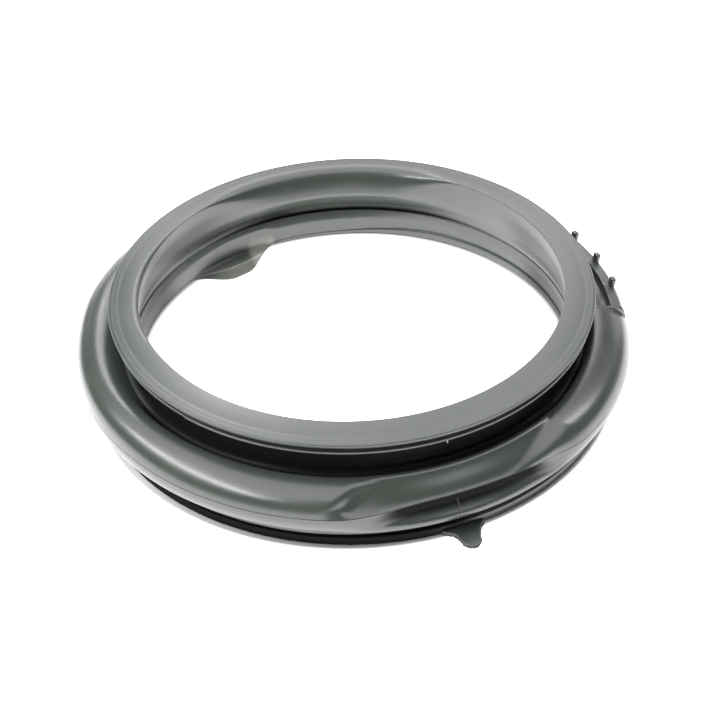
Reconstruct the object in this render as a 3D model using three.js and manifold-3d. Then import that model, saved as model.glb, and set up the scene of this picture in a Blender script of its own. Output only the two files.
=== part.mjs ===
// Door seal of a front loading washing machine, standing on the side that meets the tub.
// Millimetres, +Z up. The origin is the middle of the base rim's underside, on the seal's axis.
// Angles go round the axis in degrees: 0 is +X (right), 90 is +Y (far side), 270 is the near side.

import * as THREE from 'three';
import Module from 'manifold-3d';

// Front ring, which lies against the cabinet
const height = 79;
const openingDiameter = 300;
const faceWidth = 22;
const faceDrop = 3.4;
const faceEdge = 1.6;
const innerEdge = 2.2;
const rimThickness = 2.9;

// Groove for the front clamp wire, and the thin lip under it
const grooveGap = 3.8;
const grooveDepth = 5;
const bandLipThickness = 2.5;
const bandLipSetback = 1;
const bandLipRoot = 1;

// Wall between the front ring and the fold, and the lean of the moulded faces
const wall = 3;
const undercut = 6.5;
const draft = 0.4;

// The wall's inner face bellies outward between the sealing lip and the ring
const innerBelly = 2.4;
const bellyLow = 7;
const bellyHigh = 14;
const shoulderDrop = 2;
const shoulderInset = 0.5;
const soffitInset = 2;
const soffitDrop = 7;
const softRound = 3;

// Fold: the round bellows bulge outside the wall. It meets the wall in a valley.
const foldReach = 32;
const foldHeight = 32;
const valleyAngle = 141;
const foldCornerInset = 8.5;
const foldCornerDrop = 18.5;
const foldCornerRound = 2.6;
const foldFootInset = 3.6;

// Base rim, which sits on the tub, and the neck above it
const baseReach = 12;
const baseHeight = 6.5;
const baseFoot = 4.5;
const neckDepth = 6;
const neckTop = 11.2;

// Sealing lip inside the ring
const lipSetback = 3;
const lipEndHeight = 19;
const lipThickness = 2.5;
const lipSwell = 0.5;
const lipBead = 2.2;
const lipWaist = 0.9;
const lipWaistHeight = 30;
const lipRidgeHeight = 40.8;
const lipRidgeSetback = 1.8;
const lipValleyDepth = 2.6;
const lipValleyRise = 0.8;
const lipRoofDrop = 4;
const lipRoofReach = 5.5;
const lipRoofSlope = 1.5;

// Cuff: the raised band round the right half of the sealing lip
const cuffHeight = 6;
const cuffTurn = 1.8;
const cuffLean = 0.4;

// Spout: the pocket on the sealing lip that guides water into the drum
const spoutReach = 13;
const spoutDroop = 6.5;
const spoutUndercut = 1.5;
const pocketDepth = 2.4;
const pocketSink = 3.5;

// Scoop pressed into the near side of the fold, opposite the spout
const scoopDepth = 12;

// Split crown: the stretch where the fold's top is two ribs with a slot between
const slotOffset = 3.7;
const slotWidth = 3.6;
const slotDepth = 9;
const slotWall = 3;
const slotEnd = 2;
const crownFullness = 2.2;

// Lugs on the outer rib of the split crown
const lugCount = 3;
const lugFirst = 10;
const lugPitch = 9.5;
const lugWidth = 6;
const lugHeight = 7.5;
const lugThickness = 3.2;
const lugOffset = 12.5;

// Pull tab at the base rim
const tabAngle = 291.5;
const tabReach = 20;
const tabWidth = 12;
const tabRootWidth = 25;
const tabThickness = 3;

// How far the lugs and the tab run into the body that carries them
const root = 3;

// Where each feature starts, is full, begins to fade and ends, in degrees
const scoopSpan = [266, 286, 291, 324];
const spoutSpan = [112, 124, 128, 143];
const pocketSpan = [112, 118, 122, 146];
const cuffSpan = [-25, 0, 62, 98];
const crownSpan = [-2, 2, 58, 62];

// Fineness of the mesh
const around = 88;
const outerFoldSteps = 12;
const innerFoldSteps = 8;
const roundSteps = 5;
const weldDigits = 4;

const innerRadius = openingDiameter / 2;
const ringRadius = innerRadius + faceWidth;
const wallRadius = ringRadius - undercut;
const lipRadius = innerRadius + lipSetback;
const baseRadius = ringRadius + baseReach;
const foldRadius = foldReach / (1 - Math.cos(THREE.MathUtils.degToRad(valleyAngle)));
const foldAxis = wallRadius + foldReach - foldRadius;

const rubber = new THREE.MeshStandardMaterial({ color: 0x7e837f, roughness: 0.42, metalness: 0 });

// How the scoop moves the fold's skin. Each row: the place on the round fold in degrees above the
// horizontal, then the share of the scoop's depth that the outer skin moves inward and up, then
// the same two for the inner skin.
const scoopRows = [
  [valleyAngle, 0, 0.18, 0, 0.14],
  [115, 0.34, 0.14, 0.26, 0.1],
  [90, 0.7, 0.11, 0.62, 0.1],
  [66, 0.94, 0.1, 0.9, 0.08],
  [36, 1.12, -0.06, 1.1, -0.08],
  [5, 1, 0, 1, 0],
  [-12, 1.04, -0.1, 1.04, -0.16],
  [-24, 0.74, -0.16, 0.76, -0.48],
  [-36, 0.2, 0, 0.2, -0.42],
];

// Share of a feature at an angle round the seal, from 0 to 1
function share(angle, [start, full, fade, end]) {
  const turn = THREE.MathUtils.euclideanModulo(angle - start, 360);
  const rise = THREE.MathUtils.smoothstep(turn, 0, full - start);
  const fall = THREE.MathUtils.smoothstep(turn, fade - start, end - start);
  return rise * (1 - fall);
}

// A value of the scoop table's column, at t from 0 (valley) to 1 (below the fold)
function scoopValue(column, t) {
  const place = t * (scoopRows.length - 1);
  const row = Math.min(Math.floor(place), scoopRows.length - 2);
  return THREE.MathUtils.lerp(scoopRows[row][column], scoopRows[row + 1][column], place - row);
}

// One skin of the fold, from the valley over the crown and down the flank
function foldSkin(radius, steps, inwardColumn, liftColumn, angle) {
  const scoop = scoopDepth * share(angle, scoopSpan);
  const crown = crownFullness * share(angle, crownSpan);
  const points = [];
  for (let i = 0; i <= steps; i++) {
    const t = i / steps;
    const slope = THREE.MathUtils.degToRad(scoopValue(0, t));
    const shoulder = crown * Math.max(0, Math.sin(2 * slope));
    const reach = radius + shoulder;
    points.push({
      r: foldAxis + reach * Math.cos(slope) - scoop * scoopValue(inwardColumn, t),
      z: foldHeight + reach * Math.sin(slope) + scoop * scoopValue(liftColumn, t),
    });
  }
  return points;
}

// Front ring, wire groove and the top of the wall, from the opening outward and down
function ringCorners() {
  const faceOuterZ = height - faceDrop;
  const rimLow = faceOuterZ - rimThickness;
  const grooveLow = rimLow - grooveGap;
  const bandLipLow = grooveLow - bandLipThickness;
  const bandLipRadius = ringRadius - bandLipSetback;
  const grooveRadius = ringRadius - grooveDepth;
  return [
    { r: innerRadius, z: height, round: innerEdge, steps: 2 },
    { r: ringRadius, z: faceOuterZ, round: faceEdge, steps: 1 },
    { r: ringRadius - draft, z: rimLow },
    { r: grooveRadius, z: rimLow },
    { r: grooveRadius, z: grooveLow },
    { r: bandLipRadius, z: grooveLow },
    { r: bandLipRadius, z: bandLipLow },
    { r: wallRadius, z: bandLipLow - bandLipRoot },
  ];
}

// Underside: the fold's foot, the neck and the base rim, outside first and then back up inside
function baseCorners() {
  const foldFoot = {
    r: wallRadius + foldReach - foldCornerInset,
    z: foldHeight - foldCornerDrop,
    round: foldCornerRound,
    steps: 1,
  };
  const neckRadius = baseRadius - neckDepth;
  return [
    foldFoot,
    { r: neckRadius, z: neckTop },
    { r: neckRadius, z: baseHeight + draft },
    { r: baseRadius - draft, z: baseHeight },
    { r: baseRadius, z: 0 },
    { r: baseRadius - baseFoot, z: 0 },
    { r: neckRadius - wall, z: baseHeight },
    { r: neckRadius - wall, z: neckTop + wall },
    { r: foldFoot.r - foldFootInset, z: foldFoot.z + wall },
  ];
}

// The sealing lip hangs from the foot of the wall: down its back, round its end and up its front
function lipCorners(angle) {
  const spout = share(angle, spoutSpan);
  const pocket = share(angle, pocketSpan);
  const cuff = share(angle, cuffSpan);
  const ridgeRadius = lipRadius + lipRidgeSetback;
  const roofZ = lipRidgeHeight - lipRoofDrop;
  const pocketRadius = lipRadius + lipSwell + pocketDepth * pocket;
  const pocketFloor = lipEndHeight + lipBead - pocketSink * pocket;
  const end = {
    r: lipRadius - cuffTurn * cuff - spoutReach * spout,
    z: lipEndHeight - spoutDroop * spout,
  };
  return [
    { r: ridgeRadius + lipValleyDepth + lipRoofReach, z: roofZ },
    { r: ridgeRadius + lipThickness, z: roofZ - lipRoofSlope },
    { r: pocketRadius + lipThickness, z: pocketFloor - lipThickness * spout },
    { r: end.r + lipThickness, z: end.z - lipSwell - spoutUndercut * spout },
    end,
    { r: pocketRadius - cuffLean * cuff, z: pocketFloor + (cuffHeight - lipBead) * cuff },
    { r: ridgeRadius - lipWaist, z: lipWaistHeight },
    { r: ridgeRadius, z: lipRidgeHeight, round: 1, steps: 1 },
    { r: ridgeRadius + lipValleyDepth, z: lipRidgeHeight + lipValleyRise },
  ];
}

// The wall's inner face, from the valley behind the lip up to the opening
function innerWallCorners() {
  const faceRadius = wallRadius - wall;
  const shoulderZ = height - faceDrop - rimThickness - grooveGap - bandLipThickness - shoulderDrop;
  return [
    { r: faceRadius - innerBelly, z: lipRidgeHeight + bellyLow },
    { r: faceRadius, z: lipRidgeHeight + bellyHigh, round: softRound, steps: 1 },
    { r: faceRadius - shoulderInset, z: shoulderZ, round: softRound, steps: 1 },
    { r: innerRadius + soffitInset, z: height - soffitDrop, round: softRound, steps: 1 },
  ];
}

// The seal's section at an angle, as a closed run of points in order round the rubber. A corner
// with a round is eased over that length on both sides.
function section(angle) {
  const stations = [
    ...ringCorners(),
    ...foldSkin(foldRadius, outerFoldSteps, 1, 2, angle),
    ...baseCorners(),
    ...foldSkin(foldRadius - wall, innerFoldSteps, 3, 4, angle).reverse(),
    ...lipCorners(angle),
    ...innerWallCorners(),
  ];
  const points = [];
  stations.forEach((here, i) => {
    const at = new THREE.Vector2(here.r, here.z);
    if (!here.round) {
      points.push(at);
      return;
    }
    const towards = (other) => {
      const way = new THREE.Vector2(other.r, other.z).sub(at);
      const length = Math.min(here.round, 0.45 * way.length());
      return at.clone().addScaledVector(way.normalize(), length);
    };
    const before = stations.at(i - 1);
    const after = stations[(i + 1) % stations.length];
    const curve = new THREE.QuadraticBezierCurve(towards(before), at, towards(after));
    points.push(...curve.getPoints(here.steps));
  });
  return points;
}

// A section point at an angle round the axis
function place(point, angle) {
  const turn = THREE.MathUtils.degToRad(angle);
  return [point.x * Math.cos(turn), point.x * Math.sin(turn), point.y];
}

// Solid through a row of sections with equal numbers of points, closed into a ring or capped
function loft(sections, angles, isRing) {
  const count = sections[0].length;
  const positions = sections.flatMap((points, i) => points.flatMap((p) => place(p, angles[i])));
  const triangles = [];
  const spans = isRing ? sections.length : sections.length - 1;
  for (let i = 0; i < spans; i++) {
    const next = (i + 1) % sections.length;
    for (let j = 0; j < count; j++) {
      const k = (j + 1) % count;
      const [a, b, c, d] = [i * count + j, i * count + k, next * count + k, next * count + j];
      triangles.push(a, b, c, a, c, d);
    }
  }
  if (!isRing) {
    const last = (sections.length - 1) * count;
    for (let j = 1; j < count - 1; j++) {
      triangles.push(0, j + 1, j);
      triangles.push(last, last + j, last + j + 1);
    }
  }
  return { positions, triangles };
}

// Block that follows the ring: a rectangle in section, between two angles
function ringBlock(inner, outer, low, high, start, end) {
  const steps = Math.ceil((end - start) / (360 / around));
  const angles = Array.from({ length: steps + 1 }, (_, i) => start + ((end - start) * i) / steps);
  const box = [
    new THREE.Vector2(inner, low),
    new THREE.Vector2(inner, high),
    new THREE.Vector2(outer, high),
    new THREE.Vector2(outer, low),
  ];
  return loft(angles.map(() => box), angles, false);
}

// Positions of loose triangles joined at their shared corners
function weld(loose) {
  const positions = [];
  const triangles = [];
  const seen = new Map();
  for (let i = 0; i < loose.length; i += 3) {
    const corner = loose.slice(i, i + 3);
    const key = corner.map((value) => value.toFixed(weldDigits)).join();
    if (!seen.has(key)) {
      seen.set(key, positions.length / 3);
      positions.push(...corner);
    }
    triangles.push(seen.get(key));
  }
  return { positions, triangles };
}

// Plate with a flat outline, extruded along its thickness and set in place by a matrix
function plate(outline, thickness, matrix) {
  const geometry = new THREE.ExtrudeGeometry(new THREE.Shape(outline), {
    depth: thickness,
    bevelEnabled: false,
  });
  geometry.applyMatrix4(matrix);
  return weld(Array.from(geometry.attributes.position.array));
}

// Matrix that sets a drawing's x along the ring, y up and z outward, at a radius and a height
function standing(angle, radius, low) {
  const turn = THREE.MathUtils.degToRad(angle);
  const out = new THREE.Vector3(Math.cos(turn), Math.sin(turn), 0);
  const along = new THREE.Vector3(-Math.sin(turn), Math.cos(turn), 0);
  const up = new THREE.Vector3(0, 0, 1);
  return new THREE.Matrix4()
    .makeBasis(along, up, out)
    .setPosition(out.clone().multiplyScalar(radius).setZ(low));
}

// Matrix that lays a drawing flat: x outward, y along the ring, z up
function lying(angle, radius, low) {
  const turn = THREE.MathUtils.degToRad(angle);
  return new THREE.Matrix4()
    .makeRotationZ(turn)
    .setPosition(radius * Math.cos(turn), radius * Math.sin(turn), low);
}

const wasm = await Module();
wasm.setup();

function solid({ positions, triangles }) {
  return new wasm.Manifold(
    new wasm.Mesh({
      numProp: 3,
      vertProperties: new Float32Array(positions),
      triVerts: new Uint32Array(triangles),
    }),
  );
}

function sealBody() {
  const angles = Array.from({ length: around }, (_, i) => (i * 360) / around);
  return solid(loft(angles.map(section), angles, true));
}

// The slot lies in a channel of its own, so the fold stays shut under it
function splitCrown(body) {
  const [start, , , end] = crownSpan;
  const crown = foldHeight + foldRadius;
  const slotIn = foldAxis + slotOffset - slotWidth / 2;
  const slotOut = slotIn + slotWidth;
  const floor = crown - slotDepth;
  const channel = ringBlock(
    slotIn - slotWall, slotOut + slotWall, floor - slotWall, crown - wall / 2, start, end,
  );
  const cut = ringBlock(
    slotIn, slotOut, floor, crown + 2 * crownFullness, start + slotEnd, end - slotEnd,
  );
  return body.add(solid(channel)).subtract(solid(cut));
}

// A lug is a thumb shape standing on the outer rib
function lug(angle) {
  const half = lugWidth / 2;
  const low = foldHeight + foldRadius - wall - root;
  const top = root + lugHeight;
  const outline = new THREE.Path()
    .moveTo(-half, 0)
    .lineTo(half, 0)
    .lineTo(half, top - half)
    .absarc(0, top - half, half, 0, Math.PI, false)
    .getPoints(roundSteps);
  return solid(plate(outline, lugThickness, standing(angle, foldAxis + lugOffset - lugThickness, low)));
}

// The tab runs out flat from the base rim and narrows to a round end
function pullTab() {
  const half = tabWidth / 2;
  const rootHalf = tabRootWidth / 2;
  const tip = tabReach - half;
  const outline = new THREE.Path()
    .moveTo(-root, -rootHalf)
    .lineTo(0, -rootHalf)
    .quadraticCurveTo(half, -half, tip, -half)
    .absarc(tip, 0, half, -Math.PI / 2, Math.PI / 2, false)
    .quadraticCurveTo(half, half, 0, rootHalf)
    .lineTo(-root, rootHalf)
    .getPoints(roundSteps);
  return solid(plate(outline, tabThickness, lying(tabAngle, baseRadius, 0)));
}

function doorSeal() {
  let body = splitCrown(sealBody());
  for (let i = 0; i < lugCount; i++) {
    body = body.add(lug(lugFirst + i * lugPitch));
  }
  body = body.add(pullTab());
  const { vertProperties, triVerts } = body.getMesh();
  const geometry = new THREE.BufferGeometry();
  geometry.setAttribute('position', new THREE.Float32BufferAttribute(vertProperties, 3));
  geometry.setIndex(new THREE.Uint32BufferAttribute(triVerts, 1));
  geometry.computeVertexNormals();
  const mesh = new THREE.Mesh(geometry, rubber);
  mesh.name = 'door_seal';
  return mesh;
}

const model = new THREE.Group();
model.add(doorSeal());

export default model;
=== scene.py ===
# Door seal of a front loading washing machine: one moulded rubber bellows, standing on its base rim.
# Sizes are in millimetres and are set into the frame's metres when a mesh is made. Angles go round
# the seal's axis in degrees: 0 is right, 90 is the far side and 270 is the near side.

import logging
import math
from dataclasses import dataclass, field
from enum import Enum
from typing import ClassVar, NamedTuple, Sequence

import bmesh
import bpy
from mathutils import Matrix, Vector, noise


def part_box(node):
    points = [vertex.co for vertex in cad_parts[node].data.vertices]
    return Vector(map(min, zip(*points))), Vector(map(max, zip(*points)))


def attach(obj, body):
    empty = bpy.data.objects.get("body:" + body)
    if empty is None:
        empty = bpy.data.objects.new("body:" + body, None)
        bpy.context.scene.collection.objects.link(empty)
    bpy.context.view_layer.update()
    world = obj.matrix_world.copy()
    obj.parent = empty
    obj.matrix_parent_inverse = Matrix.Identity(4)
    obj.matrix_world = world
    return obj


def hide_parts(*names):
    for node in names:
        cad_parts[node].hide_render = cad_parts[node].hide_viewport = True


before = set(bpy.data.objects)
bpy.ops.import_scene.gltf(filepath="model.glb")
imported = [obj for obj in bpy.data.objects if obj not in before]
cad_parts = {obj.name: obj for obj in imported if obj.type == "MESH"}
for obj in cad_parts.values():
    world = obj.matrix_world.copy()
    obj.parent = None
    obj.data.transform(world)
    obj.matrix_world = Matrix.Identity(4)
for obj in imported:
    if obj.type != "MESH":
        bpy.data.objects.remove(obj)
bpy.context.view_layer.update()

SEAL_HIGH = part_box("door_seal")[1]
MM = 0.001
NODE = "door_seal"
BODY = "root"

# Mark of a fully shaded recess, where the rubber is painted dark as painted shade
SHADED = 1.0

# Sockets of a Mix node that mixes colours: its two colours and its result
MIX_A = 6
MIX_B = 7
MIX_RESULT = 2

log = logging.getLogger("door_seal")


class Spot(NamedTuple):
    """A point of the seal's section: its radius, its height and its mark.

    The mark is 0 on plain rubber. It goes up to 1 in a mould line and in painted shade in recesses
    and creases, and down to -1 on pale flash and on painted highlights.
    """

    r: float
    z: float
    mark: float = 0.0


def ease(value: float, low: float, high: float) -> float:
    """Share from 0 at low to 1 at high, flat at both ends.

    Args:
        value: Where to read the share.
        low: Value at which it starts to rise.
        high: Value at which it is full.

    Returns:
        The share, from 0 to 1.
    """
    t = min(1.0, max(0.0, (value - low) / (high - low)))
    return t * t * (3 - 2 * t)


def mix(a: float, b: float, t: float) -> float:
    """Value between a and b at share t."""
    return a + (b - a) * t


def spread(first: float, last: float, count: int) -> list[float]:
    """Values at equal steps from first to last, both included."""
    return [mix(first, last, i / (count - 1)) for i in range(count)]


def blend(a: Spot, b: Spot, t: float) -> Spot:
    """Spot between a and b at share t."""
    return Spot(mix(a.r, b.r, t), mix(a.z, b.z, t), mix(a.mark, b.mark, t))


def quadratic(a: Spot, control: Spot, b: Spot, t: float) -> Spot:
    """Spot on the curve from a to b that leaves and arrives by way of control."""
    return blend(blend(a, control, t), blend(control, b, t), t)


def fillet(
    before: Spot, at: Spot, after: Spot, length: float, steps: int, most: float = 0.45
) -> list[Spot]:
    """Ease a corner of the section.

    Args:
        before: Corner that comes before it.
        at: The corner itself.
        after: Corner that comes after it.
        length: How far the round reaches along both sides.
        steps: How many short edges it takes.
        most: The greatest share of a side that it may take.

    Returns:
        The points of the round, in order.
    """
    back = math.dist(before[:2], at[:2])
    ahead = math.dist(at[:2], after[:2])
    start = blend(at, before, min(most, length / back))
    end = blend(at, after, min(most, length / ahead))
    return [quadratic(start, at, end, i / steps) for i in range(steps + 1)]


@dataclass(frozen=True)
class Span:
    """The stretch that a feature takes, in degrees, round the seal's axis or round the fold.

    The four angles increase, so past a full turn they go on above 360.
    """

    start: float
    full: float
    fade: float
    end: float

    def share(self, angle: float) -> float:
        """How much of the feature there is at an angle.

        Args:
            angle: Where it is asked for, in degrees.

        Returns:
            The share, from 0 to 1.
        """
        turn = (angle - self.start) % 360
        rise = ease(turn, 0, self.full - self.start)
        fall = ease(turn, self.fade - self.start, self.end - self.start)
        return rise * (1 - fall)


@dataclass
class FrontRing:
    """Front ring with its wire groove and the thin lip under the groove."""

    eased_crest: float = 0.08
    top: float = SEAL_HIGH[2] / MM + eased_crest
    inner: float = 150.0
    outer: float = 172.0
    drop: float = 3.4
    inner_edge: float = 0.8
    far_softening: float = 20.0
    far_face: float = 11.0
    edge_most: float = 0.9
    left_softness: float = 0.2
    throat_out: float = 0.9
    throat_out_far: float = -2.8
    throat_drop: float = 13.0
    throat_drop_far: float = 21.0
    outer_edge: float = 1.0
    rim_draft: float = 0.4
    under_edge: float = 0.5
    thickness: float = 2.9
    groove_gap: float = 3.8
    groove_depth: float = 5.0
    groove_round: float = 0.6
    lip_thickness: float = 2.5
    lip_setback: float = 1.8
    lip_step_depth: float = 0.7
    lip_round: float = 0.8
    lip_low_round: float = 1.0
    wall: float = 163.0
    wall_low: float = 50.0
    root_drop: float = 1.0
    root_round: float = 1.6
    line_radii: tuple[float, ...] = (164.6, 168.4)
    line_half: float = 0.35
    line_dip: float = 0.02
    line_mark: float = 0.14
    soft_far: Span = Span(54, 82, 106, 140)
    soft_left: Span = Span(145, 168, 190, 215)
    lip_step: Span = Span(227.5, 228.2, 556, 587)

    def face(self, r: float) -> float:
        """Height of the sloping face at a radius."""
        return self.top - self.drop * (r - self.inner) / (self.outer - self.inner)

    def throat(self, angle: float) -> Spot:
        """Place on the inner wall below the opening's edge, where the ring ends.

        Args:
            angle: Where the section is taken, in degrees.

        Returns:
            The place, which lies deeper and further in on the far side.
        """
        share = self.soft_far.share(angle)
        out = mix(self.throat_out, self.throat_out_far, share)
        drop = mix(self.throat_drop, self.throat_drop_far, share)
        return Spot(self.inner + out, self.top - drop)

    def low(self) -> float:
        """Height of the underside of the thin lip."""
        return self.face(self.outer) - self.thickness - self.groove_gap - self.lip_thickness

    def spots(self, angle: float) -> list[Spot]:
        """Section from the opening's edge outward and down to the wall.

        Args:
            angle: Where the section is taken, in degrees.

        Returns:
            The section's points, in order.
        """
        inner = Spot(self.inner, self.top)
        outer = Spot(self.outer, self.face(self.outer))
        under = Spot(self.outer - self.rim_draft, outer.z - self.thickness)
        groove = self.outer - self.groove_depth
        shelf = under.z - self.groove_gap
        step = self.lip_step_depth * (1 - self.lip_step.share(angle))
        lip = self.outer - self.lip_setback - step
        groove_top = Spot(groove, under.z)
        groove_low = Spot(groove, shelf)
        lip_top = Spot(lip, shelf)
        # Painted shade: the thin lip's underside, its root and the wall below are painted dark all
        # round, where the ring shades them
        lip_low = Spot(lip, self.low(), SHADED)
        root = Spot(self.wall, self.low() - self.root_drop, SHADED)
        wall_low = Spot(self.wall, self.wall_low, SHADED)
        softness = self.soft_far.share(angle) + self.left_softness * self.soft_left.share(angle)
        edge = self.inner_edge + self.far_softening * softness
        face = Spot(inner.r + self.far_face, self.face(inner.r + self.far_face))
        spots = fillet(self.throat(angle), inner, face, edge, 12, self.edge_most)
        for radius in self.line_radii:
            for side in (-1, 0, 1):
                here = radius + side * self.line_half
                dip = self.line_dip * (1 - abs(side))
                mark = self.line_mark * (1 - abs(side))
                spots.append(Spot(here, self.face(here) - dip, mark))
        spots += fillet(inner, outer, under, self.outer_edge, 4)
        spots += fillet(outer, under, groove_top, self.under_edge, 1)
        spots += fillet(under, groove_top, groove_low, self.groove_round, 1)
        spots += fillet(groove_top, groove_low, lip_top, self.groove_round, 1)
        spots += fillet(groove_low, lip_top, Spot(lip, self.low()), self.lip_round, 3)
        spots += fillet(lip_top, lip_low, root, self.lip_low_round, 3)
        spots += fillet(lip_low, root, wall_low, self.root_round, 2)
        return spots


class LineTone(Enum):
    """How a moulding line stands out from the rubber round it."""

    DARK = 1.0
    PALE = -1.0


@dataclass(frozen=True)
class MouldLine:
    """A thin line of flash that runs across the fold's skin, along one section."""

    angle: float
    first_turn: float
    last_turn: float
    tone: LineTone
    height: float = 0.25
    reach: float = 0.06

    def raised(self, spots: list[Spot], turns: list[float], angle: float) -> list[Spot]:
        """Raise and tint the line where this section carries it.

        Args:
            spots: Points of the fold's outer skin.
            turns: Place of each point on the round fold, in degrees.
            angle: Where the section is taken, in degrees.

        Returns:
            The skin's points with the line.
        """
        if abs(angle - self.angle) > self.reach:
            return spots
        lined = []
        for i, (here, turn) in enumerate(zip(spots, turns)):
            if not self.last_turn <= turn <= self.first_turn:
                lined.append(here)
                continue
            before = spots[max(0, i - 1)]
            after = spots[min(len(spots) - 1, i + 1)]
            along = Vector((after.r - before.r, after.z - before.z)).normalized()
            lined.append(Spot(
                here.r - along.y * self.height, here.z + along.x * self.height,
                self.tone.value))
        return lined


@dataclass
class Scoop:
    """Scoop pressed into the near side of the fold: a crease, a hollow facet, a ridge and a pocket.

    A turn is a place on the round fold, in degrees above the horizontal.
    """

    crease: Spot = Spot(175.0, 49.6)
    crease_turn: float = 104.4
    ridge_turn: float = 4.8
    ridge_height: float = 33.5
    ridge_path: tuple[tuple[float, float], ...] = (
        (258, 197.5), (264, 197.2), (269, 195.6), (274, 192.4), (279, 188.2), (285, 185.8),
        (295, 185.6), (304, 187.8), (314, 192.0), (324, 197.3),
    )
    valley: Spot = Spot(164.0, 42.6)
    valley_bend: Spot = Spot(168.5, 50.8)
    low_turns: tuple[float, float] = (6.0, 34.0)
    facet_turn: float = 26.0
    upper_turns: tuple[float, float] = (60.0, 90.0)
    inner_turns: tuple[float, float] = (88.0, 112.0)
    start: float = 263.2
    start_slope: float = 0.085
    start_low: float = 3.5
    start_inner: float = 12.0
    width: float = 3.4
    width_low: float = 8.0
    width_upper: float = 5.0
    width_inner: float = 12.0
    ends: tuple[float, float] = (315.5, 313.0)
    end_turns: tuple[float, float] = (60.0, 5.0)
    fades: tuple[float, float] = (4.0, 11.0)
    fade_turns: tuple[float, float] = (5.0, 62.0)
    fade_inner: float = 7.0
    foot_out: float = 0.7
    foot_bend: float = 27.0
    pocket_foot: Spot = Spot(191.2, 19.8)
    pocket_bend: float = 26.5
    # Where the pocket's painted shade starts and clears, from the ridge down to the pocket's foot
    pocket_dark: tuple[float, float] = (0.0, 0.1)
    pocket_clear: tuple[float, float] = (0.5, 0.95)
    pocket: Span = Span(268.5, 280, 307, 316)
    flare: float = 6.4
    flare_rise: float = 3.2
    brow: float = 4.3
    full_top: Spot = Spot(181.5, 49.8)
    full_shoulder: Spot = Spot(193.0, 43.5)
    sink: Span = Span(261.0, 269.0, 303, 316)
    sink_slope: float = 0.12
    pocket_depth: float = 4.5

    def ridge(self, angle: float) -> Spot:
        """Crest of the ridge at an angle.

        Args:
            angle: Where the section is taken, in degrees.

        Returns:
            The crest, on the mould's parting line.
        """
        path = self.ridge_path
        last = len(path) - 1
        at = min(max(angle, path[0][0]), path[last][0])
        i = next(i for i in range(last) if at <= path[i + 1][0])
        (a, low), (b, high) = path[i], path[i + 1]
        before = path[max(0, i - 1)]
        after = path[min(last, i + 2)]
        t = (at - a) / (b - a)
        leave = (high - before[1]) / (b - before[0]) * (b - a)
        arrive = (after[1] - low) / (after[0] - a) * (b - a)
        bend = t * (t - 1) * (leave * (t - 1) + arrive * t)
        return Spot(mix(low, high, t * t * (3 - 2 * t)) + bend, self.ridge_height)

    def share(self, turn: float, angle: float) -> float:
        """How far the fold has become the scoop.

        Args:
            turn: Place on the round fold, in degrees above the horizontal.
            angle: Where the section is taken, in degrees.

        Returns:
            The share, from 0 to 1.
        """
        low = 1 - ease(turn, *self.low_turns)
        upper = ease(turn, *self.upper_turns)
        inner = ease(turn, *self.inner_turns)
        start = self.start + self.start_slope * max(0.0, turn - self.facet_turn)
        start = start - self.start_low * low - self.start_inner * inner
        width = self.width + self.width_inner * inner + self.width_low * low
        width += self.width_upper * upper
        end = mix(*self.ends, ease(turn, *self.end_turns))
        fade = mix(*self.fades, 1 - ease(turn, *self.fade_turns)) + self.fade_inner * inner
        return ease(angle, start, start + width) * (1 - ease(angle, end, end + fade))

    def spot(self, turn: float, angle: float, foot: Spot) -> Spot:
        """Point of the scoop that belongs to a place on the round fold.

        Args:
            turn: Place on the round fold, in degrees above the horizontal.
            angle: Where the section is taken, in degrees.
            foot: End of the round fold, where the scoop runs out again.

        Returns:
            The point.
        """
        ridge = self.ridge(angle)
        if turn >= self.crease_turn:
            t = (Fold.valley_turn - turn) / (Fold.valley_turn - self.crease_turn)
            return quadratic(self.valley, self.valley_bend, self.crease, t)
        if turn >= self.ridge_turn:
            t = (self.crease_turn - turn) / (self.crease_turn - self.ridge_turn)
            deep = self.sink.share(angle - self.sink_slope * (turn - self.facet_turn))
            upper = Spot(self.crease.r + self.brow, self.crease.z - self.brow)
            lower = Spot(ridge.r - self.flare, ridge.z + self.flare_rise)
            upper = blend(self.full_top, upper, deep)
            lower = blend(self.full_shoulder, lower, deep)
            return blend(
                quadratic(self.crease, upper, lower, t), quadratic(upper, lower, ridge, t), t)
        t = (self.ridge_turn - turn) / (self.ridge_turn - Fold.foot_turn)
        depth = self.pocket.share(angle)
        plain = Spot(ridge.r + self.foot_out, self.foot_bend)
        hollow = Spot(ridge.r - self.pocket_depth, self.pocket_bend)
        low = blend(foot, self.pocket_foot, depth)
        spot = quadratic(ridge, blend(plain, hollow, depth), low, t)
        # Painted shade: the pocket under the ridge is painted dark near its top, clearing towards its
        # foot
        shade = depth * ease(t, *self.pocket_dark) * (1 - ease(t, *self.pocket_clear))
        return Spot(spot.r, spot.z, shade)


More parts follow.
